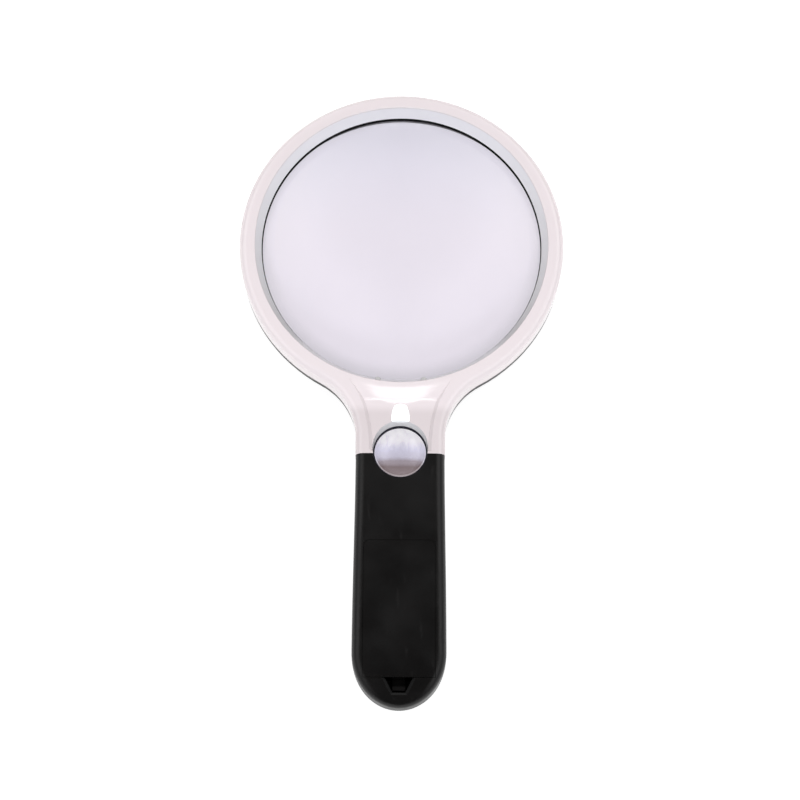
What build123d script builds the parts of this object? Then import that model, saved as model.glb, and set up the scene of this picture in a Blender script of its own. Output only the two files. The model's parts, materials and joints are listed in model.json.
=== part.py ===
from build123d import *
import os
from math import atan2, cos, degrees, radians, sin, sqrt

# Hand-held magnifier with a large lens in a ring, a small strong lens in the neck, three LEDs and
# a handle that holds three AAA cells. Millimetres. +Z is the lens axis and points to the lit side.
# The handle runs towards -Y. Z = 0 is the table that it lies on, reading side down.

# Outline, seen along the lens axis
RING_Y = 72.5
RING_R = 77.25
NECK_HALF = 20.85
NECK_ARC_R = 32.7
NECK_ARC_Y = RING_Y - sqrt((RING_R + NECK_ARC_R) ** 2 - (NECK_HALF + NECK_ARC_R) ** 2)
JOIN_Y = -32.2
HANDLE_HALF_TOP = 20.65
HANDLE_HALF_BUTT = 21.5
BUTT_Y = -125.25
BUTT_LENGTH = 24.5
REAR_INSET = 0.1

# Heights
PART_Z = 11.0
FACE_Z = 22.0
PLATEAU_Z = 20.8
HANDLE_Z = 23.5
FRONT_ROUND = 3.8
COVER_ROUND = 4.5
REAR_ROUND = 8.0

# Walls
FRAME_WALL = 2.0
FRAME_TOP_Z = 18.6
COVER_WALL = 2.4
COVER_ROOF = 2.6
REAR_WALL = 2.2
REAR_FLOOR_Z = 2.4

# Large lens and its seat
LENS_R = 69.0
LENS_SPHERE_R = 300.0
LENS_EDGE_Z = (10.0, 13.0)
WINDOW_R = 67.0
REAR_WINDOW_R = 68.1
GASKET_Z = 15.5
GASKET_LIP = 0.45
FACE_INNER_R = 69.85
WEB_R = 71.9

# Small lens and its bezel
SMALL_Y = -30.3
SMALL_R = 13.5
SMALL_SPHERE_R = 26.0
SMALL_EDGE_Z = (10.5, 14.5)
SMALL_WINDOW_R = 12.0
BEZEL_R = 12.5
BEZEL_FLANGE_R = 15.0
BEZEL_TOP_Z = 17.8
RECESS_SLOPES = [(0.42, 0.13), (-0.2, 0.02)]
REAR_SMALL_R = 12.2
BOSS_R = 17.0
BOSS_Z = 16.0

# Battery door
DOOR_HALF = 16.45
DOOR_Y = (-136.85, -73.9)
DOOR_GAP = 0.15
DOOR_THICK = 1.6
DOOR_CORNER_R = 3.0
BAY_HALF = 15.9
BAY_Y = (-135.3, -75.2)
HOOK_X = 9.5
HOOK_HALF = 2.5
HOOK_R = (3.3, 4.6)
HOOK_REACH = 1.5
NOTCH_HALF = (6.3, 2.9)
NOTCH_Y = (-143.4, -137.0)
NOTCH_TOP_Z = 21.8
NOTCH_FLOOR_Z = 12.5
NOTCH_WALL = 1.4
LEG_HALF = 2.9
LEG_Z = (13.0, 14.2)
LEG_FOOT_TOP_Z = 17.4
LEG_END_Y = -142.2
NOTCH_SLOPE = radians(18.5)
NOTCH_BEVEL = 1.1

# Cells and their cradle
CELL_R = 5.2
CELL_LENGTH = 43.3
CELL_PITCH = 10.6
CELL_Z = 15.7
CRADLE_HALF = 16.9
CRADLE_Y = (-133.0, -78.0)
CRADLE_Z = 8.6

# Slide switch
SWITCH_Y = -54.0
SWITCH_TRAVEL = 4.0
SCOOP_Z = 3.4

# Screws
SCREW_R = 1.0
SCREW_HEAD_R = 2.2
SCREW_HEAD_Z = (2.9, 4.5)
SCREW_TIP_Z = 14.4
POST_R = 3.0
NECK_SCREWS = [(-14.0, -7.0), (14.0, -7.0)]
HANDLE_SCREWS = [(-11.5, -65.5), (11.5, -65.5), (-10.2, -139.5), (10.2, -139.5)]

# LEDs and their board
LED_R = 1.5
BELL_HALF = 4.4
BELL_SHOULDER = 3.1
BELL_CORNER = 0.9
BELL_BASE_Y = -16.65
BELL_HOLE_Y = -14.9
BELL_LOW_Z = 19.2
LED_ANGLE = 9.0
LED_TILT = 30.0
MIDDLE_LED_Y = -10.9
BOARD_Z = (11.9, 12.9)
WIRE_R = 0.55
WIRE_Z = 9.6


def box(x, y, z):
    """A block between two corners, each axis given as (low, high)."""
    centre = ((x[0] + x[1]) / 2, (y[0] + y[1]) / 2, (z[0] + z[1]) / 2)
    return Pos(*centre) * Box(x[1] - x[0], y[1] - y[0], z[1] - z[0])


def rod(r, x, y, z):
    """An upright cylinder from z[0] to z[1]."""
    return Pos(x, y, (z[0] + z[1]) / 2) * Cylinder(r, z[1] - z[0])


def turned(points, y):
    """A solid of revolution about the upright line through (0, y), from (radius, height) points."""
    face = make_face(Plane.XZ * Polyline(*points, close=True))
    return Pos(0, y, 0) * revolve(face, Axis.Z)


def prism(face, z):
    """A flat face stood between two heights."""
    return extrude(Pos(0, 0, z[0]) * face, z[1] - z[0])


def long_edges(solid, low, high):
    """The solid's edges between two heights that run along the outline."""
    boxes = [(edge, edge.bounding_box()) for edge in solid.edges()]
    return [e for e, b in boxes if b.min.Z > low and b.max.Z < high and b.size.Y > 0.05]


# ---- Outlines


def ring_and_neck_sides(inset):
    """The right-hand half of the ring and the neck's arc, from the top of the ring down."""
    x = NECK_HALF + NECK_ARC_R
    angle = degrees(atan2(RING_Y - NECK_ARC_Y, -x))
    ring = CenterArc((0, RING_Y), RING_R - inset, 90, angle - 270)
    arc = CenterArc((x, NECK_ARC_Y), NECK_ARC_R + inset, angle, 180 - angle)
    return [ring, arc]


def closed_face(right_half):
    """A face from the right half of an outline and its mirror image."""
    half = Curve() + right_half
    return make_face(half + mirror(half, Plane.YZ))


def frame_outline(end_y, inset=0.0):
    """The ring and the neck, cut off straight at end_y."""
    half = NECK_HALF - inset
    side = Line((half, NECK_ARC_Y), (half, end_y))
    return closed_face(ring_and_neck_sides(inset) + [side, Line((half, end_y), (0, end_y))])


def handle_side(top, inset):
    """The handle's right side from a point down to the middle of the rounded butt."""
    half = HANDLE_HALF_BUTT - inset
    side = Spline(top, (half, BUTT_Y), tangents=[(0, -1), (0, -1)])
    butt = EllipticalCenterArc((0, BUTT_Y), half, BUTT_LENGTH - inset, start_angle=270, arc_size=90)
    return [side, butt]


def cover_outline(end_y, inset=0.0):
    """The handle alone, cut off straight at end_y."""
    half = HANDLE_HALF_TOP - inset
    return closed_face([Line((0, end_y), (half, end_y))] + handle_side((half, end_y), inset))


def rear_outline(inset):
    """The whole object in one outline."""
    top = (NECK_HALF - inset, NECK_ARC_Y)
    return closed_face(ring_and_neck_sides(inset) + handle_side(top, inset))


def handle_roof(drop):
    """Everything below the handle's top surface, lowered by drop, as one wide block."""
    start = (JOIN_Y, FACE_Z - drop)
    crest = (-70.0, HANDLE_Z - drop)
    fall = (-122.0, HANDLE_Z - drop)
    rise = Spline(start, crest, tangents=[(-1, 0.03), (-1, 0)])
    flat = Line(crest, fall)
    drop_arc = EllipticalCenterArc((-122.0, 10 - drop), 31, 13.5, start_angle=90, arc_size=70)
    end = drop_arc @ 1
    foot = Polyline((end.X, end.Y), (end.X, 0), (5, 0), (5, FACE_Z - drop), start)
    face = make_face(Plane.YZ * (Curve() + [rise, flat, drop_arc, foot]))
    return extrude(face, 30, both=True)


# ---- White ring and neck


def led_spots():
    """Place and direction of the two LEDs that look into the large lens's rim."""
    for side in (-1, 1):
        a = radians(LED_ANGLE) * side
        tilt = radians(LED_TILT)
        tip = Vector(sin(a) * 67.6, RING_Y - cos(a) * 67.6, 19.6)
        way = Vector(-sin(a) * cos(tilt), cos(a) * cos(tilt), sin(tilt))
        yield side, tip, way


def lens_opening():
    """The tapered opening in front of the large lens, with a rounded lip."""
    lip = 0.65
    wall = Polyline(
        (0, GASKET_Z), (WINDOW_R, GASKET_Z), (FACE_INNER_R, FACE_Z - lip * 0.7)
    )
    top = ThreePointArc(
        (FACE_INNER_R, FACE_Z - lip * 0.7),
        (FACE_INNER_R + lip * 0.35, FACE_Z - lip * 0.15),
        (FACE_INNER_R + lip, FACE_Z),
    )
    rest = Polyline((FACE_INNER_R + lip, FACE_Z), (FACE_INNER_R + lip, 25), (0, 25), (0, GASKET_Z))
    face = make_face(Plane.XZ * (Curve() + [wall, top, rest]))
    return Pos(0, RING_Y, 0) * revolve(face, Axis.Z)


def panel_face(grow, z):
    """The neck panel's outline at a height, its sides moved out by grow."""
    crease = [(23.0, 5.0), (18.6, -2.5), (16.2, -8.0), (14.4, -15.0), (13.3, -22.0), (12.9, -31.0)]
    crease = [(x + grow, y) for x, y in crease]
    side = Spline(*crease)
    top = Line((0, crease[0][1]), crease[0])
    end = Line(crease[-1], (0, crease[-1][1]))
    return Pos(0, 0, z) * closed_face([top, side, end])


def neck_panel():
    """The sunk panel in the neck: a bead flank round the ring, then a flat plateau."""
    depth = FACE_Z - PLATEAU_Z
    slab = loft([panel_face(0, PLATEAU_Z), panel_face(1.3 * (depth + 0.5), FACE_Z + 0.5)])
    crown_r = FACE_INNER_R + 0.65
    crease_r = 79.5
    flank = ThreePointArc(
        (crown_r, FACE_Z), ((crown_r + crease_r) / 2, 21.68), (crease_r, PLATEAU_Z)
    )
    under = Polyline(
        (crease_r, PLATEAU_Z), (crease_r, 19), (60, 19), (60, 23), (crown_r, 23), (crown_r, FACE_Z)
    )
    bead = revolve(make_face(Plane.XZ * (Curve() + [flank, under])), Axis.Z)
    return slab - Pos(0, RING_Y, 0) * bead


def bell_face(base_y, shrink=0.0):
    """The LED window's bell shape, down to base_y."""
    half, shoulder, corner = BELL_HALF - shrink, BELL_SHOULDER - shrink, BELL_CORNER
    top = ThreePointArc((-shoulder, -9.0), (0, -7.7 - shrink), (shoulder, -9.0))
    side = Spline((shoulder, -9.0), (half - 0.5, -11.2), (half, base_y + corner))
    bend = RadiusArc((half, base_y + corner), (half - corner, base_y), corner)
    foot = Line((half - corner, base_y), (0, base_y))
    right = Curve() + [side, bend, foot]
    return make_face(right + mirror(right, Plane.YZ) + top)


def lens_recess():
    """The bezel's hole, with a top that slopes away towards the ring and a little towards the butt."""
    hole_r = BEZEL_R + 0.05
    low_z, high_z = BEZEL_TOP_Z - 0.1, HANDLE_Z + 2
    rise = high_z - low_z
    hole = rod(hole_r, 0, SMALL_Y, (0, 30))
    low = Pos(0, SMALL_Y, low_z) * Circle(hole_r - 0.02)
    for lean, spread in RECESS_SLOPES:
        high = Pos(0, SMALL_Y + lean * rise, high_z) * Circle(hole_r + spread * rise)
        hole = hole + loft([low, high])
    return hole


def front_posts(spots, roof):
    """Screw posts that hang from a front shell's roof."""
    return [rod(POST_R, x, y, (PART_Z + 0.2, roof)) for x, y in spots]


def front_pilots(spots):
    """Pilot holes for the screws, up into the posts."""
    return [rod(SCREW_R + 0.05, x, y, (PART_Z, SCREW_TIP_Z + 0.2)) for x, y in spots]


def make_front_frame():
    block = prism(frame_outline(JOIN_Y), (PART_Z, FACE_Z))
    outer = fillet(long_edges(block, FACE_Z - 0.1, FACE_Z + 0.1), FRONT_ROUND)
    inside = frame_outline(JOIN_Y - 8, FRAME_WALL)
    cavity = prism(inside, (PART_Z - 1, FRAME_TOP_Z))
    cavity = fillet(long_edges(cavity, FRAME_TOP_Z - 0.1, FRAME_TOP_Z + 0.1), 2.6)
    cavity = cavity - rod(WEB_R, 0, RING_Y, (0, 30))
    boss = rod(BOSS_R, 0, SMALL_Y, (BOSS_Z, FRAME_TOP_Z + 0.5))
    extras = Part() + [boss] + front_posts(NECK_SCREWS, FRAME_TOP_Z + 0.5)
    frame = outer - cavity + (extras & outer)
    frame = frame - rod(WEB_R - 1, 0, RING_Y, (PART_Z - 1, GASKET_Z)) - lens_opening()
    frame = frame - neck_panel() - lens_recess()
    frame = frame - prism(bell_face(BELL_BASE_Y), (BELL_LOW_Z, 25))
    frame = frame - prism(bell_face(BELL_HOLE_Y, 0.7), (15, 25))
    frame = frame - front_pilots(NECK_SCREWS)
    for _, tip, way in led_spots():
        frame = frame - extrude(Plane(tip - way * 12, z_dir=way) * Circle(LED_R + 0.1), 16)
        frame = frame - extrude(Plane(tip - way * 12, z_dir=way) * Circle(LED_R + 0.5), 8)
    return frame


# ---- Black handle cover and battery door


def handle_block(outline, drop, rounding):
    """The handle above the parting plane, with its top edge rounded."""
    block = prism(outline, (PART_Z, 30)) & handle_roof(drop)
    edges = [e for e in long_edges(block, PART_Z + 1, 30) if e.bounding_box().size.X > 0.02]
    return fillet(edges, rounding)


def door_face(grow):
    """The battery door seen from above, grown by a gap."""
    low, high = DOOR_Y
    width = 2 * (DOOR_HALF + grow)
    length = high - low + 2 * grow
    plate = RectangleRounded(width, length, DOOR_CORNER_R + grow)
    square_end = Pos(0, -length / 4) * Rectangle(width, length / 2)
    return Pos(0, (low + high) / 2) * (plate + square_end)


def notch_face(grow):
    """The finger notch below the door, wide at the door and narrow at the butt."""
    wide, narrow = NOTCH_HALF[0] + grow, NOTCH_HALF[1] + grow
    bottom = NOTCH_Y[0] - grow
    top = BAY_Y[0] + 0.5
    right = Polyline((0, bottom), (narrow, bottom), (wide, NOTCH_Y[1]), (wide, top), (0, top))
    return closed_face([right])


def notch_rim():
    """A bevel round the notch, parallel to the butt's sloping top."""
    lean = (0, -sin(NOTCH_SLOPE), cos(NOTCH_SLOPE))
    slope = Plane((0, NOTCH_Y[1], NOTCH_TOP_Z), x_dir=(1, 0, 0), z_dir=lean)
    wide, narrow = NOTCH_HALF
    length = NOTCH_Y[1] - NOTCH_Y[0] + 0.4
    right = Polyline((0, -length), (narrow, -length), (wide, 0), (wide, 3), (0, 3))
    bevel = extrude(slope * Pos(0, 0, -NOTCH_BEVEL) * closed_face([right]), 2 * NOTCH_BEVEL, taper=-45)
    return bevel & box((-12, 12), (-150, DOOR_Y[0] - DOOR_GAP), (11, 30))


def make_handle_cover():
    outer = handle_block(cover_outline(JOIN_Y), 0, COVER_ROUND)
    inside = cover_outline(JOIN_Y + 8, COVER_WALL)
    cavity = (prism(inside, (PART_Z - 1, 30)) & handle_roof(COVER_ROOF)) - box(
        (-30, 30), (-47.5, 20), (FRAME_TOP_Z, 30)
    )
    boss = rod(BOSS_R, 0, SMALL_Y, (BOSS_Z, 21.5))
    notch_room = box((-9, 9), (-150, -136.95), (PART_Z, 30))
    notch_box = prism(notch_face(NOTCH_WALL), (NOTCH_FLOOR_Z - NOTCH_WALL, 24)) & notch_room
    extras = Part() + [boss, notch_box] + front_posts(HANDLE_SCREWS, HANDLE_Z - COVER_ROOF + 0.4)
    cover = outer - cavity + (extras & outer)
    cover = cover - lens_recess()
    rabbet = prism(door_face(DOOR_GAP), (PART_Z, 30)) - handle_roof(DOOR_THICK + 0.15)
    cover = cover - rabbet - box((-BAY_HALF, BAY_HALF), BAY_Y, (PART_Z - 1, 30))
    cover = cover - prism(notch_face(0), (NOTCH_FLOOR_Z, 30)) - notch_rim()
    return cover - front_pilots(HANDLE_SCREWS)


def door_hook(x):
    """A hook curved about the hinge line, so that it swings clear from under the cover's edge."""
    low_r, high_r = HOOK_R
    hinge_y = DOOR_Y[1] + DOOR_GAP
    line = Pos(x, hinge_y, HANDLE_Z) * Rot(0, 90, 0)
    curl = line * (Cylinder(high_r, 2 * HOOK_HALF) - Cylinder(low_r, 3 * HOOK_HALF))
    reach = (hinge_y - 5, hinge_y + HOOK_REACH)
    return curl & box((x - HOOK_HALF, x + HOOK_HALF), reach, (HANDLE_Z - 5, HANDLE_Z - 1.5))


def make_battery_door():
    outer = handle_block(cover_outline(JOIN_Y), 0, COVER_ROUND)
    plate = (outer & prism(door_face(0), (PART_Z, 30))) - handle_roof(DOOR_THICK)
    parts = [door_hook(-HOOK_X), door_hook(HOOK_X)]
    leg = (-LEG_HALF, LEG_HALF)
    parts.append(box(leg, (-136.7, -135.4), (LEG_Z[0], 20.6)))
    parts.append(box(leg, (LEG_END_Y, -135.4), LEG_Z))
    parts.append(box(leg, (LEG_END_Y, LEG_END_Y + 1.9), (LEG_Z[0], LEG_FOOT_TOP_Z)))
    for x in (-12.0, 0.0, 12.0):
        parts.append(box((x - 0.5, x + 0.5), (-133.5, -79.0), (21.3, 22.0)))
    return plate + parts


# ---- Black rear shell


def rear_posts(spots):
    """Screw posts that stand on the rear shell's floor."""
    return [rod(POST_R, x, y, (1.0, PART_Z - 0.1)) for x, y in spots]


def make_rear_shell():
    block = prism(rear_outline(REAR_INSET), (0, PART_Z))
    outer = fillet(long_edges(block, -0.1, 0.1), REAR_ROUND)
    inside = rear_outline(REAR_INSET + REAR_WALL)
    cavity = prism(inside, (REAR_FLOOR_Z, PART_Z + 1))
    cavity = fillet(long_edges(cavity, REAR_FLOOR_Z - 0.1, REAR_FLOOR_Z + 0.1), 6.6)
    cavity = cavity - rod(WEB_R - 1.3, 0, RING_Y, (0, 30))
    seat = rod(WEB_R - 1.3, 0, RING_Y, (PART_Z - 1, LENS_EDGE_Z[1]))
    tube = rod(BEZEL_FLANGE_R + 0.2, 0, SMALL_Y, (1.0, SMALL_EDGE_Z[0] - 0.1))
    switch_floor = box((-11, 11), (-68, -40), (1.0, 5.4))
    extras = Part() + [tube, switch_floor] + rear_posts(NECK_SCREWS + HANDLE_SCREWS)
    shell = outer - cavity + (extras & outer) + seat
    large_seat = LENS_EDGE_Z[0] - dome_rise(REAR_WINDOW_R, LENS_R, LENS_SPHERE_R) - 0.08
    shell = shell - turned(
        [(0, -1), (REAR_WINDOW_R + 0.5, -1), (REAR_WINDOW_R + 0.5, 0), (REAR_WINDOW_R, 1.2),
         (REAR_WINDOW_R, large_seat), (LENS_R + 0.1, LENS_EDGE_Z[0] - 0.05), (LENS_R + 0.1, 20), (0, 20)],
        RING_Y
    )
    small_seat = SMALL_EDGE_Z[0] - dome_rise(REAR_SMALL_R, SMALL_R, SMALL_SPHERE_R) - 0.1
    shell = shell - turned(
        [(0, -1), (REAR_SMALL_R + 1.8, -1), (REAR_SMALL_R + 1.8, 0), (REAR_SMALL_R, 1.8),
         (REAR_SMALL_R, small_seat), (SMALL_R, SMALL_EDGE_Z[0] - 0.1), (SMALL_R, 20), (0, 20)], SMALL_Y
    )
    scoop = extrude(Pos(0, SWITCH_Y, SCOOP_Z) * RectangleRounded(17, 25, 8), -SCOOP_Z - 0.5, taper=-35)
    shell = shell - scoop
    shell = shell - box((-1.7, 1.7), (-58.2, -49.8), (0, 8))
    for x, y in NECK_SCREWS + HANDLE_SCREWS:
        shell = shell - rod(SCREW_HEAD_R + 0.25, x, y, (-1, SCREW_HEAD_Z[1]))
        shell = shell - rod(SCREW_R + 0.25, x, y, (-1, 20))
    return shell


# ---- Lenses, gasket, bezel and window


def dome_rise(r, edge_r, sphere_r):
    """How far a lens face stands above its edge, at radius r."""
    return sqrt(sphere_r ** 2 - r ** 2) - sqrt(sphere_r ** 2 - edge_r ** 2)


def lens(r, sphere_r, edge_z, y):
    """A biconvex lens with a plain ground edge."""
    low, high = edge_z
    sag = dome_rise(0, r, sphere_r)
    mid_r = r / 2
    mid_sag = dome_rise(mid_r, r, sphere_r)
    front = ThreePointArc((r, high), (mid_r, high + mid_sag), (0, high + sag))
    back = ThreePointArc((0, low - sag), (mid_r, low - mid_sag), (r, low))
    axis = Line((0, high + sag), (0, low - sag))
    rim = Line((r, low), (r, high))
    face = make_face(Plane.XZ * (Curve() + [front, axis, back, rim]))
    return Pos(0, y, 0) * revolve(face, Axis.Z)


def make_gasket():
    low = LENS_EDGE_Z[1] + 0.05
    lip_r = WINDOW_R - GASKET_LIP
    lip_z = low + dome_rise(lip_r, LENS_R, LENS_SPHERE_R)
    outer_r = WEB_R - 1.1
    return turned(
        [(lip_r, lip_z), (LENS_R, low), (outer_r, low), (outer_r, GASKET_Z), (WINDOW_R, GASKET_Z),
         (lip_r, lip_z + 0.3)], RING_Y
    )


def make_bezel():
    low, high = SMALL_EDGE_Z
    lip_z = high + dome_rise(SMALL_WINDOW_R, SMALL_R, SMALL_SPHERE_R) + 0.07
    return turned(
        [(SMALL_WINDOW_R, lip_z), (SMALL_WINDOW_R, BEZEL_TOP_Z - 0.2),
         (SMALL_WINDOW_R + 0.2, BEZEL_TOP_Z), (BEZEL_R, BEZEL_TOP_Z), (BEZEL_R, BOSS_Z - 0.05),
         (BEZEL_FLANGE_R, BOSS_Z - 0.05), (BEZEL_FLANGE_R, low), (SMALL_R + 0.05, low),
         (SMALL_R + 0.05, high + 0.05)], SMALL_Y
    )


def make_led_window():
    plate = prism(bell_face(BELL_BASE_Y, 0.08), (BELL_LOW_Z, PLATEAU_Z + 0.25))
    top = [e for e in plate.edges() if e.bounding_box().min.Z > PLATEAU_Z + 0.2]
    return fillet(top, 0.2) - lens_recess()


# ---- LEDs and their board


def led(place):
    """A round LED: domed body with a flange at its base, pointing along the place's normal."""
    body = Cylinder(LED_R, 3.6, align=(Align.CENTER, Align.CENTER, Align.MIN))
    dome = Pos(0, 0, 3.6) * Sphere(LED_R)
    flange = Cylinder(LED_R + 0.35, 0.7, align=(Align.CENTER, Align.CENTER, Align.MIN))
    return place * (body + dome + flange)


def led_places():
    """Base planes of the three LEDs: left, right and the one under the window."""
    reach = 3.6 + LED_R
    places = {}
    for side, tip, way in led_spots():
        places["left" if side < 0 else "right"] = Plane(tip - way * reach, z_dir=way)
    places["middle"] = Plane((0, MIDDLE_LED_Y, BOARD_Z[1] + 1.0), z_dir=(0, 0, 1))
    return places


def make_board():
    board = box((-10.2, 10.2), (-13.0, -2.2), BOARD_Z)
    return board - rod(0.9, -8.6, -11.4, (0, 20)) - rod(0.9, 8.6, -11.4, (0, 20))


def make_leads(places):
    """Two legs from each LED down to the board."""
    legs = []
    for name, place in places.items():
        for dx in (-0.65, 0.65):
            top = place.origin + place.x_dir * dx if name != "middle" else Vector(dx, MIDDLE_LED_Y, 0)
            if name == "middle":
                legs.append(rod(0.25, dx, MIDDLE_LED_Y, (BOARD_Z[1], place.origin.Z)))
                continue
            side_x = place.origin.X * 0.86 + dx
            foot = Vector(side_x, -3.6, BOARD_Z[1])
            knee = top - place.z_dir * 1.2
            path = Polyline(top, knee, Vector(side_x, -3.6, BOARD_Z[1] + 1.0), foot)
            legs.append(sweep(Plane(top, z_dir=-place.z_dir) * Circle(0.25), path,
                              transition=Transition.RIGHT))
    return legs


def make_resistors():
    return [box((x - 1.0, x + 1.0), (-7.6, -6.4), (BOARD_Z[1], BOARD_Z[1] + 0.5)) for x in (-6, 0, 6)]


# ---- Slide switch


def make_switch_housing():
    can = box((-3.6, 3.6), (SWITCH_Y - 6, SWITCH_Y + 6), (5.5, 10.4))
    return can - box((-1.9, 1.9), (SWITCH_Y - 4.5, SWITCH_Y + 4.5), (5.0, 8.2))


def make_switch_pins():
    return [box((-0.6, 0.6), (y - 0.2, y + 0.2), (10.4, 12.6)) for y in (-57.0, -54.0, -51.0)]


def make_switch_slider():
    y = SWITCH_Y - SWITCH_TRAVEL / 2
    return box((-1.3, 1.3), (y - 1.5, y + 1.5), (3.0, 7.9))


def make_switch_knob():
    y = SWITCH_Y - SWITCH_TRAVEL / 2
    knob = prism(Pos(0, y) * RectangleRounded(12, 11, 3), (0.8, 3.0))
    low = [e for e in knob.edges() if e.bounding_box().max.Z < 0.9]
    knob = fillet(low, 0.7)
    for i in range(5):
        knob = knob - box((-4.4, 4.4), (y - 3.3 + i * 1.5, y - 2.7 + i * 1.5), (0.7, 1.25))
    return knob


# ---- Batteries and their contacts


def make_cell(x, tip_up):
    """One cell along Y; tip_up puts the positive end towards the lens."""
    low = cell_low(tip_up)
    body = Plane((x, low, CELL_Z), z_dir=(0, 1, 0)) * Cylinder(
        CELL_R, CELL_LENGTH, align=(Align.CENTER, Align.CENTER, Align.MIN)
    )
    body = fillet([e for e in body.edges() if e.length > 20 and e.bounding_box().size.Y < 1], 0.5)
    nub_y = low + CELL_LENGTH if tip_up else low
    way = 1 if tip_up else -1
    nub = Plane((x, nub_y, CELL_Z), z_dir=(0, way, 0)) * Cylinder(
        1.9, 0.9, align=(Align.CENTER, Align.CENTER, Align.MIN)
    )
    return body + nub


def cell_low(tip_up):
    """The Y of a cell's lower end, spring side or nub side."""
    inner = (CRADLE_Y[0] + 1.2 + 0.3, CRADLE_Y[1] - 1.2 - 0.3)
    gap = 0.95
    return inner[1] - gap - CELL_LENGTH if tip_up else inner[0] + gap


def make_cradle():
    low, high = CRADLE_Y
    tray = box((-CRADLE_HALF, CRADLE_HALF), CRADLE_Y, (CRADLE_Z, 18.2))
    hollow = box((-CRADLE_HALF + 0.9, CRADLE_HALF - 0.9), (low + 1.2, high - 1.2), (CELL_Z, 30))
    tray = tray - hollow
    for x in (-CELL_PITCH, 0, CELL_PITCH):
        trough = Plane((x, low + 1.2, CELL_Z), z_dir=(0, 1, 0)) * Cylinder(
            CELL_R + 0.1, high - low - 2.4, align=(Align.CENTER, Align.CENTER, Align.MIN)
        )
        tray = tray - trough
    for y in (low + 1.2, high - 1.6):
        tray = tray - box((-CRADLE_HALF + 0.9, CRADLE_HALF - 0.9), (y, y + 0.4), (12.1, 30))
    for side in (-1, 1):
        corner = [(side * 14.2, low - 0.1), (side * 17.2, low - 0.1), (side * 17.2, low + 4.6)]
        tray = tray - prism(make_face(Polyline(*corner, close=True)), (CRADLE_Z - 1, 11.4))
    return tray


def plate(x, y):
    """A thin contact plate standing against one end wall, y given as (low, high)."""
    return box(x, y, (12.2, 18.8))


def contact_plates():
    """Three cells in series: one plate each for plus and minus and two bridges."""
    low, high = CRADLE_Y
    top = (high - 1.5, high - 1.2)
    bottom = (low + 1.2, low + 1.5)
    far, near = CELL_PITCH + 3.6, CELL_PITCH - 3.6
    return {
        "plus_contact": plate((-far, -near), top),
        "top_bridge": plate((-3.6, far), top),
        "bottom_bridge": plate((-far, 3.6), bottom),
        "minus_contact": plate((near, far), bottom),
    }


def make_spring(x, base_y, way):
    """A coil that presses on a cell's flat end."""
    turns, wire, length = 3.0, 0.3, 5.4
    path = Helix((length - 2 * wire) / turns, length - 2 * wire, 3.0)
    coil = sweep(Plane(path @ 0, z_dir=path % 0) * Circle(wire), path, is_frenet=True)
    return Plane((x, base_y + way * wire, CELL_Z), z_dir=(0, way, 0)) * coil


def make_springs():
    top = CRADLE_Y[1] - 1.5
    bottom = CRADLE_Y[0] + 1.5
    return [
        make_spring(-CELL_PITCH, bottom, 1),
        make_spring(0, top, -1),
        make_spring(CELL_PITCH, bottom, 1),
    ]


# ---- Screws and wires


def make_screws(spots):
    screws = []
    for x, y in spots:
        screw = rod(SCREW_HEAD_R, x, y, SCREW_HEAD_Z) + rod(SCREW_R, x, y, (4.0, SCREW_TIP_Z))
        screw = screw - box((x - 1.5, x + 1.5), (y - 0.25, y + 0.25), (0, 3.6))
        screws.append(screw - box((x - 0.25, x + 0.25), (y - 1.5, y + 1.5), (0, 3.6)))
    return screws


def wire(points, bend):
    """An insulated wire along a route with rounded bends."""
    path = FilletPolyline(*points, radius=bend)
    return sweep(Plane(path @ 0, z_dir=path % 0) * Circle(WIRE_R), path)


def make_wires():
    z = WIRE_Z
    return {
        "wire_plus": wire(
            [(-10.6, -77.9, z), (-10.6, -73.0, z), (-6.0, -68.0, z), (-6.0, -61.5, z),
             (-4.6, -57.0, 11.7), (-0.9, -57.0, 11.7)], 1.2),
        "wire_switched": wire(
            [(0.9, -54.0, 11.7), (4.6, -54.0, 11.7), (8.0, -51.0, z), (16.8, -44.0, z), (16.8, -22.0, z),
             (7.5, -14.5, z), (7.5, -9.0, 11.3)], 1.2),
        "wire_minus": wire(
            [(-10.6, -135.0, z), (-14.0, -135.0, z), (-17.6, -129.5, z), (-17.75, -76.0, z),
             (-16.8, -44.0, z), (-16.8, -22.0, z), (-7.5, -14.5, z), (-7.5, -9.0, 11.3)], 1.5),
    }


def main():
    places = led_places()
    parts = {
        "front_frame": make_front_frame(),
        "rear_shell": make_rear_shell(),
        "handle_cover": make_handle_cover(),
        "battery_door": make_battery_door(),
        "main_lens": lens(LENS_R, LENS_SPHERE_R, LENS_EDGE_Z, RING_Y),
        "lens_gasket": make_gasket(),
        "small_lens": lens(SMALL_R, SMALL_SPHERE_R, SMALL_EDGE_Z, SMALL_Y),
        "small_lens_bezel": make_bezel(),
        "led_window": make_led_window(),
        "led_board": make_board(),
        "led_leads": Compound(children=make_leads(places)),
        "board_resistors": Compound(children=make_resistors()),
        "switch_housing": make_switch_housing(),
        "switch_pins": Compound(children=make_switch_pins()),
        "switch_slider": make_switch_slider(),
        "switch_knob": make_switch_knob(),
        "battery_cradle": make_cradle(),
        "battery_springs": Compound(children=make_springs()),
        "neck_screws": Compound(children=make_screws(NECK_SCREWS)),
        "handle_screws": Compound(children=make_screws(HANDLE_SCREWS)),
    }
    for name, place in places.items():
        parts["led_" + name] = led(place)
    for i, x in enumerate((-CELL_PITCH, 0, CELL_PITCH)):
        parts[f"aaa_cell_{i + 1}"] = make_cell(x, i != 1)
    parts.update(contact_plates())
    parts.update(make_wires())
    os.makedirs("parts", exist_ok=True)
    for name, shape in parts.items():
        export_step(shape, f"parts/{name}.step")
        print(name, len(shape.solids()), round(shape.volume), shape.is_valid)


main()
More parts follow.
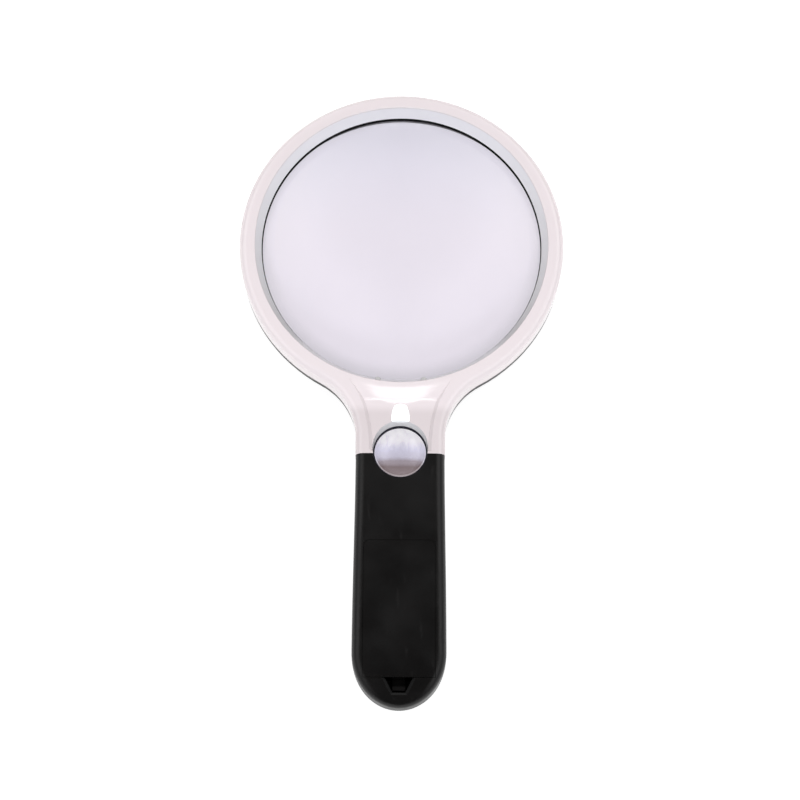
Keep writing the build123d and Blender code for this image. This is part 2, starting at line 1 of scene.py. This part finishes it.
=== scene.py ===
import json
import math

import bmesh
import bpy
from mathutils import Matrix, Vector


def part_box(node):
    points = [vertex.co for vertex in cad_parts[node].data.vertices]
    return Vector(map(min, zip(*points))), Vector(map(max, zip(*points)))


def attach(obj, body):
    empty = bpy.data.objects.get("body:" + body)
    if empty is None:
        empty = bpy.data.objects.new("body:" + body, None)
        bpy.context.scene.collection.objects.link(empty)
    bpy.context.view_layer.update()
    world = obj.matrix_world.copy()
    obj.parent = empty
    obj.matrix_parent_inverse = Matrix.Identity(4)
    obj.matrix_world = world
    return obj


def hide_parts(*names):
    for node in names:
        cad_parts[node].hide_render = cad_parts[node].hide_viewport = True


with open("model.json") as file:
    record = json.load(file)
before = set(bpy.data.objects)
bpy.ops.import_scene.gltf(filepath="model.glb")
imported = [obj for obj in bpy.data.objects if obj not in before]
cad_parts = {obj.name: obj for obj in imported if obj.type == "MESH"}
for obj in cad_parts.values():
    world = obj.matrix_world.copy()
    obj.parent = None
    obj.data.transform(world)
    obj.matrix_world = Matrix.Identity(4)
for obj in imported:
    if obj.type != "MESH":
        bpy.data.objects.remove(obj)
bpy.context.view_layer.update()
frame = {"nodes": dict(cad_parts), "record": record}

MM = 0.001
NODES = frame["nodes"]


def middle_y(node):
    """The Y of the middle of a node's box."""
    low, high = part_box(node)
    return (low.y + high.y) / 2


LARGE_LENS_Y = middle_y("main_lens")
SMALL_LENS_Y = middle_y("small_lens")

# Lengths are in metres, apart from the camera's focal length and sensor width.

# Where the white shell's painted light and shade change: a stretch of Y, or radii about an upright axis and
# that axis's Y
# Painted light: the wall inside the ring is painted paler, most of all on its far side
WALL_LIGHT_R = (69.6 * MM, 70.0 * MM)
WALL_LIGHT_Y = (LARGE_LENS_Y - 2.5 * MM, LARGE_LENS_Y + 62.5 * MM)
# Painted light: the small lens's recess is painted paler and more neutral than the neck around it
RECESS_LIGHT_Y = SMALL_LENS_Y + 1.3 * MM
RECESS_LIGHT_R = (12.8 * MM, 13.0 * MM)
# Painted shade: the neck is painted greyer towards the small lens
NECK_SHADE_Y = (SMALL_LENS_Y + 17.3 * MM, SMALL_LENS_Y + 22.3 * MM)

# The same for the lenses' painted shade, reflections and highlights. The painted rims' axes lie a little
# further from the handle than the lenses' own.
# Painted shade: the large lens is darker near its rim, most of all by the handle, and darker and bluer far
# from it
LARGE_RIM_SHADE_Y = LARGE_LENS_Y + 3.0 * MM
LARGE_RIM_SHADE_R = (60.0 * MM, 70.5 * MM)
LARGE_FAR_SHADE_Y = (LARGE_LENS_Y + 2.5 * MM, LARGE_LENS_Y + 67.5 * MM)
# Painted highlight: the small lens's light rim; then the span of its painted reflection bands
SMALL_RIM_HIGHLIGHT_Y = SMALL_LENS_Y + 1.0 * MM
SMALL_RIM_HIGHLIGHT_R = (11.6 * MM, 11.9 * MM)
SMALL_REFLECTION_BANDS_Y = (SMALL_LENS_Y - 8.7 * MM, SMALL_LENS_Y + 15.3 * MM)

# The small lens's painted reflections of the room, from the near end of its bands to the far end: brown,
# lilac, then pale
SMALL_REFLECTION_BANDS = [
    (0.0, (0.36, 0.30, 0.31)), (0.08, (0.25, 0.19, 0.20)), (0.21, (0.25, 0.20, 0.21)),
    (0.28, (0.60, 0.57, 0.68)), (0.50, (0.76, 0.74, 0.90)),
    (0.64, (0.99, 0.96, 1.0)), (1.0, (0.98, 0.97, 1.0))]
# Where the small lens's painted reflection patches fade in over its bands
SMALL_REFLECTION_PATCHES = (0.3, 0.55)

# Clear acrylic, the radii of the lenses' spherical faces, and the rings and steps of their meshes
ACRYLIC_IOR = 1.49
ACRYLIC_HAZE = 0.01
LARGE_SPHERE_R = 300 * MM
SMALL_SPHERE_R = 26 * MM
LENS_RINGS = 72
LENS_STEPS = 288

# Faces that meet at less than this are shaded smooth
SMOOTH_ANGLE = math.radians(30)

# Camera, with its focal length and sensor width in millimetres
TILT = math.radians(17.5)
ROLL = math.radians(0.365)
DISTANCE = 1.1
TARGET = Vector((-0.26, -3.55, 13)) * MM
FOCAL_LENGTH = 105.3
SENSOR_WIDTH = 36

# Floor
FLOOR_SIZE = 3.0
FLOOR_GAP = 0.2 * MM
FLOOR_GLOW = 0.85

# The room's level and tint by height, from the horizon at 0 to straight above at 1
ROOM_LEVELS = [(0.0, 0.12), (0.3, 0.25), (0.55, 0.92), (0.78, 0.92), (0.94, 0.05), (1.0, 0.04)]
ROOM_TINTS = [(0.0, (0.9, 0.95, 1.0)), (0.45, (0.97, 0.98, 1.0)), (0.7, (1.0, 0.985, 0.98))]

# The room's strength in the middle and at the sides, how far to the side it is full, and how much of the
# way beyond the ring counts as sideways
ROOM_SIDES = (0.1, 1.75)
ROOM_SIDE_REACH = 0.5
ROOM_FAR_SHARE = 0.25

# Lights for the glossy white pieces: name, place, aim, size, radiance and colour
WHITE_LIGHTS = (
    ("strip_near", (0, -0.05, 1.4), (0, -0.05, 0), (0.213, 0.23), 6, (1, 1, 1)),
    ("strip_far", (0, 0.155, 1.4), (0, 0.155, 0), (0.17, 0.19), 6, (1, 1, 1)),
    ("front_fill", (0, -0.8, 1.05), (0, 0.07, 0), (1.0, 0.5), 5, (0.86, 0.94, 1.0)),
)
GLOSSY_WHITE = [NODES["front_frame"], NODES["led_window"]]


# ---- Node material helpers


def new_material(name):
    """A material with a Principled shader, its node tree and that shader."""
    material = bpy.data.materials.new(name)
    material.use_nodes = True
    return material, material.node_tree, material.node_tree.nodes["Principled BSDF"]


def add(tree, kind, **values):
    """A node, with its properties and its unlinked sockets set by name."""
    node = tree.nodes.new(kind)
    for key, value in values.items():
        if key in node.inputs:
            node.inputs[key].default_value = value
        else:
            setattr(node, key, value)
    return node


def object_point(tree):
    return add(tree, "ShaderNodeTexCoord").outputs["Object"]


def noise(tree, point, scale, detail, roughness=0.5):
    node = add(tree, "ShaderNodeTexNoise", Scale=scale, Detail=detail, Roughness=roughness)
    tree.links.new(point, node.inputs["Vector"])
    return node.outputs["Fac"]


def stretched(tree, point, scale, turn=0.0):
    """A point scaled along its axes, then turned about Z."""
    node = add(tree, "ShaderNodeMapping", Rotation=(0, 0, turn), Scale=scale)
    tree.links.new(point, node.inputs["Vector"])
    return node.outputs["Vector"]


def ramp(tree, value, stops):
    """A colour ramp; stops are (position, grey or colour)."""
    node = add(tree, "ShaderNodeValToRGB")
    elements = node.color_ramp.elements
    while len(elements) < len(stops):
        elements.new(0.5)
    for element, (position, tone) in zip(elements, stops):
        element.position = position
        element.color = (tone, tone, tone, 1) if isinstance(tone, (int, float)) else (*tone, 1)
    tree.links.new(value, node.inputs["Fac"])
    return node.outputs["Color"]


def mix_colour(tree, factor, a, b):
    """Colour a at factor 0 and b at factor 1; each argument is a socket or a value."""
    node = add(tree, "ShaderNodeMix", data_type="RGBA")
    for socket, value in ((node.inputs[0], factor), (node.inputs[6], a), (node.inputs[7], b)):
        if isinstance(value, bpy.types.NodeSocket):
            tree.links.new(value, socket)
        else:
            socket.default_value = value if isinstance(value, float) else (*value, 1)
    return node.outputs[2]


def bump(tree, shader, height, strength, distance):
    node = add(tree, "ShaderNodeBump", Strength=strength, Distance=distance)
    tree.links.new(height, node.inputs["Height"])
    tree.links.new(node.outputs["Normal"], shader.inputs["Normal"])


def map_range(tree, value, span, ends=(0.0, 1.0), interpolation="SMOOTHSTEP"):
    """A value's place in a span, from one end to the other; beyond the span it stays at the nearer end."""
    node = add(tree, "ShaderNodeMapRange", interpolation_type=interpolation)
    for key, number in zip(("From Min", "From Max", "To Min", "To Max"), (*span, *ends)):
        node.inputs[key].default_value = number
    tree.links.new(value, node.inputs["Value"])
    return node.outputs["Result"]


def along(tree, point, axis="Y"):
    """One coordinate of a point."""
    node = add(tree, "ShaderNodeSeparateXYZ")
    tree.links.new(point, node.inputs[0])
    return node.outputs[axis]


def distance_from(tree, point, y):
    """A point's distance from the upright axis through (0, y)."""
    flat = add(tree, "ShaderNodeVectorMath", operation="MULTIPLY")
    flat.inputs[1].default_value = (1, 1, 0)
    tree.links.new(point, flat.inputs[0])
    gap = add(tree, "ShaderNodeVectorMath", operation="DISTANCE")
    gap.inputs[1].default_value = (0, y, 0)
    tree.links.new(flat.outputs[0], gap.inputs[0])
    return gap.outputs["Value"]


def scaled_sum(tree, value, factor, other):
    """value * factor + other."""
    node = add(tree, "ShaderNodeMath", operation="MULTIPLY_ADD")
    node.inputs[1].default_value = factor
    tree.links.new(value, node.inputs[0])
    tree.links.new(other, node.inputs[2])
    return node.outputs[0]


# ---- Materials


def scuffs(tree, point):
    """Sparse, fine handling marks that run lengthwise, from 0 to 1."""
    streaks = stretched(tree, point, scale=(1, 0.15, 1), turn=0.6)
    return ramp(tree, noise(tree, streaks, scale=420, detail=6, roughness=0.7), [(0.60, 0.0), (0.68, 1.0)])


def moulded_plastic(name, colour, shade, rough, grain, grain_depth=0.02 * MM, specular=0.5, coat=0.0):
    """Injection-moulded plastic: slight colour drift, uneven gloss, duller scuffs and a fine texture."""
    material, tree, shader = new_material(name)
    point = object_point(tree)
    drift = noise(tree, point, scale=22, detail=4)
    tree.links.new(mix_colour(tree, drift, colour, shade), shader.inputs["Base Color"])
    gloss = ramp(tree, noise(tree, point, scale=60, detail=5), [(0.3, rough * 0.85), (0.7, rough * 1.2)])
    gloss = mix_colour(tree, scuffs(tree, point), gloss, (rough * 1.5,) * 3)
    tree.links.new(gloss, shader.inputs["Roughness"])
    bump(tree, shader, noise(tree, point, scale=grain, detail=2), strength=0.5, distance=grain_depth)
    shader.inputs["Specular IOR Level"].default_value = specular
    shader.inputs["Coat Weight"].default_value = coat
    shader.inputs["Coat Roughness"].default_value = 0.08
    return material


def ring_plastic():
    """Glossy white plastic with painted light and shade: painted shade makes it greyer on the neck, painted
    light makes it paler on the wall inside the ring, most of all on its far side, and paler and more neutral
    in the small lens's recess."""
    material = moulded_plastic(
        "white_shell", (0.825, 0.735, 0.745), (0.805, 0.718, 0.728), rough=0.45, grain=1800,
        grain_depth=0.004 * MM, specular=0.2, coat=1.0)
    tree = material.node_tree
    base = tree.nodes["Principled BSDF"].inputs["Base Color"]
    plain = base.links[0].from_socket
    point = object_point(tree)
    y = along(tree, point)
    # Painted light on the wall inside the ring, paler towards its far side
    far = map_range(tree, y, WALL_LIGHT_Y)
    wall = mix_colour(tree, far, (0.89, 0.865, 0.885), (1.0, 0.96, 1.0))
    inside = map_range(tree, distance_from(tree, point, LARGE_LENS_Y), WALL_LIGHT_R, ends=(1.0, 0.0))
    # Painted light: a paler, more neutral tone in the small lens's recess
    recess = map_range(tree, distance_from(tree, point, RECESS_LIGHT_Y), RECESS_LIGHT_R, ends=(1.0, 0.0))
    # Painted shade: a greyer tone on the neck
    neck = map_range(tree, y, NECK_SHADE_Y, ends=(1.0, 0.0))
    tone = mix_colour(tree, neck, plain, (0.70, 0.62, 0.625))
    tone = mix_colour(tree, inside, tone, wall)
    tree.links.new(mix_colour(tree, recess, tone, (0.83, 0.80, 0.81)), base)
    return material


def clear_acrylic(tree, shader, point, colour):
    """Makes the shader clear moulded acrylic, with a colour from a socket and a faint haze of dust."""
    tree.links.new(colour, shader.inputs["Base Color"])
    shader.inputs["Transmission Weight"].default_value = 1.0
    shader.inputs["IOR"].default_value = ACRYLIC_IOR
    dust = ramp(tree, noise(tree, point, scale=900, detail=2), [(0.45, 0.0), (0.8, ACRYLIC_HAZE)])
    tree.links.new(dust, shader.inputs["Roughness"])


def large_lens_plastic():
    """Slightly lilac clear acrylic with painted shade: darker near its rim, most of all by the handle, and
    darker and bluer far from it.
    """
    material, tree, shader = new_material("clear_lens")
    point = object_point(tree)
    # Painted shade near the rim, and a darker, bluer painted tone far from the handle
    rim = map_range(tree, distance_from(tree, point, LARGE_RIM_SHADE_Y), LARGE_RIM_SHADE_R)
    far = map_range(tree, along(tree, point), LARGE_FAR_SHADE_Y)
    tone = mix_colour(tree, far, (0.83, 0.79, 0.86), (0.765, 0.745, 0.835))
    clear_acrylic(tree, shader, point, mix_colour(tree, rim, tone, (0.66, 0.635, 0.69)))
    return material


def small_lens_plastic():
    """Clear acrylic with painted reflections in place of the room that a strong lens gathers: bands of brown
    on the near side, then lilac, then pale with painted reflection patches, with wavy edges between them, and
    a painted highlight on its rim."""
    material, tree, shader = new_material("clear_small_lens")
    point = object_point(tree)
    streaks = stretched(tree, point, scale=(1, 0.4, 1))
    wobble = noise(tree, streaks, scale=1400, detail=4, roughness=0.65)
    wavy_y = scaled_sum(tree, wobble, 1.2 * MM, along(tree, point))
    place = map_range(tree, wavy_y, SMALL_REFLECTION_BANDS_Y, interpolation="LINEAR")
    # Painted reflections: patches over the pale far part of the bands
    patches = ramp(tree, noise(tree, streaks, scale=500, detail=3), [(0.48, 0.0), (0.60, 0.4)])
    patches = mix_colour(tree, map_range(tree, place, SMALL_REFLECTION_PATCHES), (0, 0, 0), patches)
    tone = mix_colour(tree, patches, ramp(tree, place, SMALL_REFLECTION_BANDS), (0.60, 0.57, 0.70))
    # Painted highlight: a light rim
    rim = map_range(tree, distance_from(tree, point, SMALL_RIM_HIGHLIGHT_Y), SMALL_RIM_HIGHLIGHT_R)
    clear_acrylic(tree, shader, point, mix_colour(tree, rim, tone, (0.9, 0.87, 0.9)))
    return material


def milky_plastic(name, colour, glow):
    """A milky LED body or light window; glow is light that it gives off itself, which is painted light, as no
    LED in the scene is lit.
    """
    material, tree, shader = new_material(name)
    point = object_point(tree)
    shade = tuple(c * 0.97 for c in colour)
    tone = mix_colour(tree, noise(tree, point, scale=200, detail=2), colour, shade)
    tree.links.new(tone, shader.inputs["Base Color"])
    tree.links.new(tone, shader.inputs["Emission Color"])
    shader.inputs["Emission Strength"].default_value = glow
    gloss = ramp(tree, noise(tree, point, scale=400, detail=3), [(0.3, 0.18), (0.7, 0.3)])
    tree.links.new(gloss, shader.inputs["Roughness"])
    shader.inputs["Coat Weight"].default_value = 0.6
    return material


def metal(name, colour, rough):
    """Bare metal: slight colour drift, uneven gloss and a fine texture."""
    material, tree, shader = new_material(name)
    point = object_point(tree)
    shade = tuple(c * 0.8 for c in colour)
    tone = mix_colour(tree, noise(tree, point, scale=300, detail=3), colour, shade)
    tree.links.new(tone, shader.inputs["Base Color"])
    shader.inputs["Metallic"].default_value = 1.0
    gloss = ramp(tree, noise(tree, point, scale=700, detail=3), [(0.3, rough * 0.7), (0.7, rough * 1.4)])
    tree.links.new(gloss, shader.inputs["Roughness"])
    bump(tree, shader, noise(tree, point, scale=2500, detail=1), strength=0.2, distance=0.02 * MM)
    return material


BLACK = moulded_plastic(
    "black_shell", (0.005, 0.005, 0.0055), (0.008, 0.0075, 0.008), rough=0.38, grain=3500, specular=0.3)
HANDLE = moulded_plastic(
    "black_handle", (0.0035, 0.003, 0.003), (0.0055, 0.005, 0.005), rough=0.36, grain=3500, specular=0.3)
RUBBER = moulded_plastic(
    "black_rubber", (0.006, 0.006, 0.007), (0.010, 0.010, 0.010), rough=0.6, grain=2500, specular=0.1)
BEZEL = moulded_plastic(
    "bezel_black", (0.024, 0.022, 0.038), (0.028, 0.026, 0.044), rough=0.4, grain=1500,
    grain_depth=0.01 * MM, specular=0.05)
BOARD = moulded_plastic("board_green", (0.03, 0.16, 0.07), (0.04, 0.2, 0.09), rough=0.35, grain=1500)
CELL = moulded_plastic(
    "cell_jacket", (0.10, 0.14, 0.20), (0.12, 0.16, 0.23), rough=0.3, grain=600, grain_depth=0.01 * MM)
RED = moulded_plastic("wire_red", (0.45, 0.02, 0.02), (0.35, 0.02, 0.02), rough=0.4, grain=1500)
LARGE_LENS = large_lens_plastic()
SMALL_LENS = small_lens_plastic()

FINISHES = {
    "white_shell": ring_plastic(),
    # Painted light: the window glows white like a highlight, though the LED behind it is unlit
    "window_white": milky_plastic("window_white", (0.97, 0.97, 0.97), glow=0.3),
    "black_shell": BLACK,
    "knob_black": BLACK,
    "cradle_black": BLACK,
    "black_handle": HANDLE,
    "black_rubber": RUBBER,
    "wire_black": RUBBER,
    "wire_red": RED,
    "bezel_black": BEZEL,
    "resistor_black": BEZEL,
    "board_green": BOARD,
    "cell_jacket": CELL,
    "clear_lens": LARGE_LENS,
    "led_clear": milky_plastic("led_clear", (0.72, 0.71, 0.71), glow=0.0),
    "tinned_steel": metal("tinned_steel", (0.72, 0.71, 0.69), rough=0.3),
    "contact_brass": metal("contact_brass", (0.75, 0.58, 0.28), rough=0.3),
    "screw_steel": metal("screw_steel", (0.5, 0.5, 0.51), rough=0.35),
}


# ---- CAD nodes: smooth shading and a finish each


def smooth_shading(angle):
    """A node modifier that joins the CAD faces' edges and shades them smooth below an angle."""
    group = bpy.data.node_groups.new("smooth_cad", "GeometryNodeTree")
    group.interface.new_socket("Geometry", in_out="INPUT", socket_type="NodeSocketGeometry")
    group.interface.new_socket("Geometry", in_out="OUTPUT", socket_type="NodeSocketGeometry")
    source = group.nodes.new("NodeGroupInput")
    merge = group.nodes.new("GeometryNodeMergeByDistance")
    merge.inputs["Distance"].default_value = 0.001 * MM
    edge = group.nodes.new("GeometryNodeInputMeshEdgeAngle")
    gentle = group.nodes.new("FunctionNodeCompare")
    gentle.data_type = "FLOAT"
    gentle.operation = "LESS_THAN"
    gentle.inputs["B"].default_value = angle
    faces = group.nodes.new("GeometryNodeSetShadeSmooth")
    faces.domain = "FACE"
    edges = group.nodes.new("GeometryNodeSetShadeSmooth")
    edges.domain = "EDGE"
    out = group.nodes.new("NodeGroupOutput")
    link = group.links.new
    link(source.outputs[0], merge.inputs["Geometry"])
    link(merge.outputs["Geometry"], faces.inputs["Geometry"])
    link(edge.outputs["Unsigned Angle"], gentle.inputs["A"])
    link(faces.outputs["Geometry"], edges.inputs["Geometry"])
    link(gentle.outputs["Result"], edges.inputs["Shade Smooth"])
    link(edges.outputs["Geometry"], out.inputs[0])
    return group


SMOOTH = smooth_shading(SMOOTH_ANGLE)
SLOTS = {part["node"]: part["material_slot"] for part in frame["record"]["subparts"]}
for name, node in NODES.items():
    node.data.materials.clear()
    node.data.materials.append(FINISHES[SLOTS[name]])
    node.modifiers.new("smooth", "NODES").node_group = SMOOTH
    weighted = node.modifiers.new("flats", "WEIGHTED_NORMAL")
    weighted.mode = "FACE_AREA"
    weighted.keep_sharp = True


# ---- Clear lenses, finer than the CAD mesh so that they refract cleanly


def lens_mesh(name, y, edge_r, sphere_r, edge_low, edge_high):
    """A biconvex lens about an upright axis through (0, y), as one closed mesh."""
    centre_depth = math.sqrt(sphere_r**2 - edge_r**2)
    points = []
    for way, edge in ((1, edge_high), (-1, edge_low)):
        points.append((0, y, edge + way * (sphere_r - centre_depth)))
        for ring in range(1, LENS_RINGS + 1):
            r = edge_r * ring / LENS_RINGS
            z = edge + way * (math.sqrt(sphere_r**2 - r * r) - centre_depth)
            for step in range(LENS_STEPS):
                turn = 2 * math.pi * step / LENS_STEPS
                points.append((r * math.cos(turn), y + r * math.sin(turn), z))
    faces = []
    underside = 1 + LENS_RINGS * LENS_STEPS
    for pole, way in ((0, 1), (underside, -1)):
        first = pole + 1
        for step in range(LENS_STEPS):
            after = (step + 1) % LENS_STEPS
            faces.append([pole, first + step, first + after][::way])
            for ring in range(LENS_RINGS - 1):
                inner = first + ring * LENS_STEPS
                outer = inner + LENS_STEPS
                faces.append([inner + step, outer + step, outer + after, inner + after][::way])
    rim = 1 + (LENS_RINGS - 1) * LENS_STEPS
    for step in range(LENS_STEPS):
        after = (step + 1) % LENS_STEPS
        faces.append([rim + after, rim + step, underside + rim + step, underside + rim + after])
    mesh = bpy.data.meshes.new(name)
    mesh.from_pydata(points, [], faces)
    mesh.update()
    return mesh


def lens_piece(node, name, material, sphere_r):
    """The finer lens for a CAD lens, its place, width and edge taken from the node's own box."""
    low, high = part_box(node)
    edge_r = (high.x - low.x) / 2
    sag = sphere_r - math.sqrt(sphere_r**2 - edge_r**2)
    mesh = lens_mesh(name, middle_y(node), edge_r, sphere_r, low.z + sag, high.z - sag)
    mesh.materials.append(material)
    piece = bpy.data.objects.new(name, mesh)
    bpy.context.scene.collection.objects.link(piece)
    piece.modifiers.new("smooth", "NODES").node_group = SMOOTH
    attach(piece, "body")
    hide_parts(node)


lens_piece("main_lens", "main_lens_clear", LARGE_LENS, LARGE_SPHERE_R)
lens_piece("small_lens", "small_lens_clear", SMALL_LENS, SMALL_SPHERE_R)


# ---- Camera, floor, room and lights


def make_camera():
    """A camera above the object, tilted towards the handle's end."""
    data = bpy.data.cameras.new("camera")
    data.lens = FOCAL_LENGTH
    data.sensor_width = SENSOR_WIDTH
    camera = bpy.data.objects.new("camera", data)
    bpy.context.scene.collection.objects.link(camera)
    back = Vector((0, -math.sin(TILT), math.cos(TILT)))
    turn = (-back).to_track_quat("-Z", "Y").to_matrix() @ Matrix.Rotation(ROLL, 3, "Z")
    camera.matrix_world = Matrix.Translation(TARGET + back * DISTANCE) @ turn.to_4x4()
    bpy.context.scene.camera = camera


def make_floor():
    """A pale floor just below the object, with enough light of its own to look white."""
    mesh = bpy.data.meshes.new("floor")
    grid = bmesh.new()
    bmesh.ops.create_grid(grid, x_segments=1, y_segments=1, size=FLOOR_SIZE)
    grid.to_mesh(mesh)
    grid.free()
    floor = bpy.data.objects.new("floor", mesh)
    bpy.context.scene.collection.objects.link(floor)
    floor.location.z = -FLOOR_GAP
    material, tree, shader = new_material("floor")
    shader.inputs["Base Color"].default_value = (0.5, 0.5, 0.5, 1)
    shader.inputs["Roughness"].default_value = 0.9
    shader.inputs["Specular IOR Level"].default_value = 0.0
    shader.inputs["Emission Color"].default_value = (1, 1, 1, 1)
    shader.inputs["Emission Strength"].default_value = FLOOR_GLOW
    floor.data.materials.append(material)


def make_world():
    """A room that is bright to the left and right, dimmer beyond the ring, and dark beyond the butt and
    straight above."""
    world = bpy.data.worlds.new("studio")
    bpy.context.scene.world = world
    world.use_nodes = True
    tree = world.node_tree
    way = add(tree, "ShaderNodeTexCoord").outputs["Generated"]
    height = along(tree, way, "Z")
    sideways = add(tree, "ShaderNodeMath", operation="ABSOLUTE")
    tree.links.new(along(tree, way, "X"), sideways.inputs[0])
    side = scaled_sum(tree, along(tree, way, "Y"), ROOM_FAR_SHARE, sideways.outputs[0])
    strength = add(tree, "ShaderNodeMath", operation="MULTIPLY")
    tree.links.new(ramp(tree, height, ROOM_LEVELS), strength.inputs[0])
    tree.links.new(map_range(tree, side, (0.0, ROOM_SIDE_REACH), ROOM_SIDES), strength.inputs[1])
    background = tree.nodes["Background"]
    tree.links.new(ramp(tree, height, ROOM_TINTS), background.inputs["Color"])
    tree.links.new(strength.outputs[0], background.inputs["Strength"])


def softbox(name, place, aim, size, radiance, colour, receivers):
    """A rectangular light of a given radiance that lights only the receivers."""
    data = bpy.data.lights.new(name, "AREA")
    data.shape = "RECTANGLE"
    data.size, data.size_y = size
    data.energy = radiance * math.pi * size[0] * size[1]
    data.color = colour
    light = bpy.data.objects.new(name, data)
    bpy.context.scene.collection.objects.link(light)
    way = Vector(aim) - Vector(place)
    light.matrix_world = Matrix.Translation(place) @ way.to_track_quat("-Z", "Y").to_matrix().to_4x4()
    lit = bpy.data.collections.new(name + "_receivers")
    for piece in receivers:
        lit.objects.link(piece)
    light.light_linking.receiver_collection = lit


make_camera()
make_floor()
make_world()
for light in WHITE_LIGHTS:
    softbox(*light, GLOSSY_WHITE)
bpy.context.scene.view_settings.view_transform = "Standard"
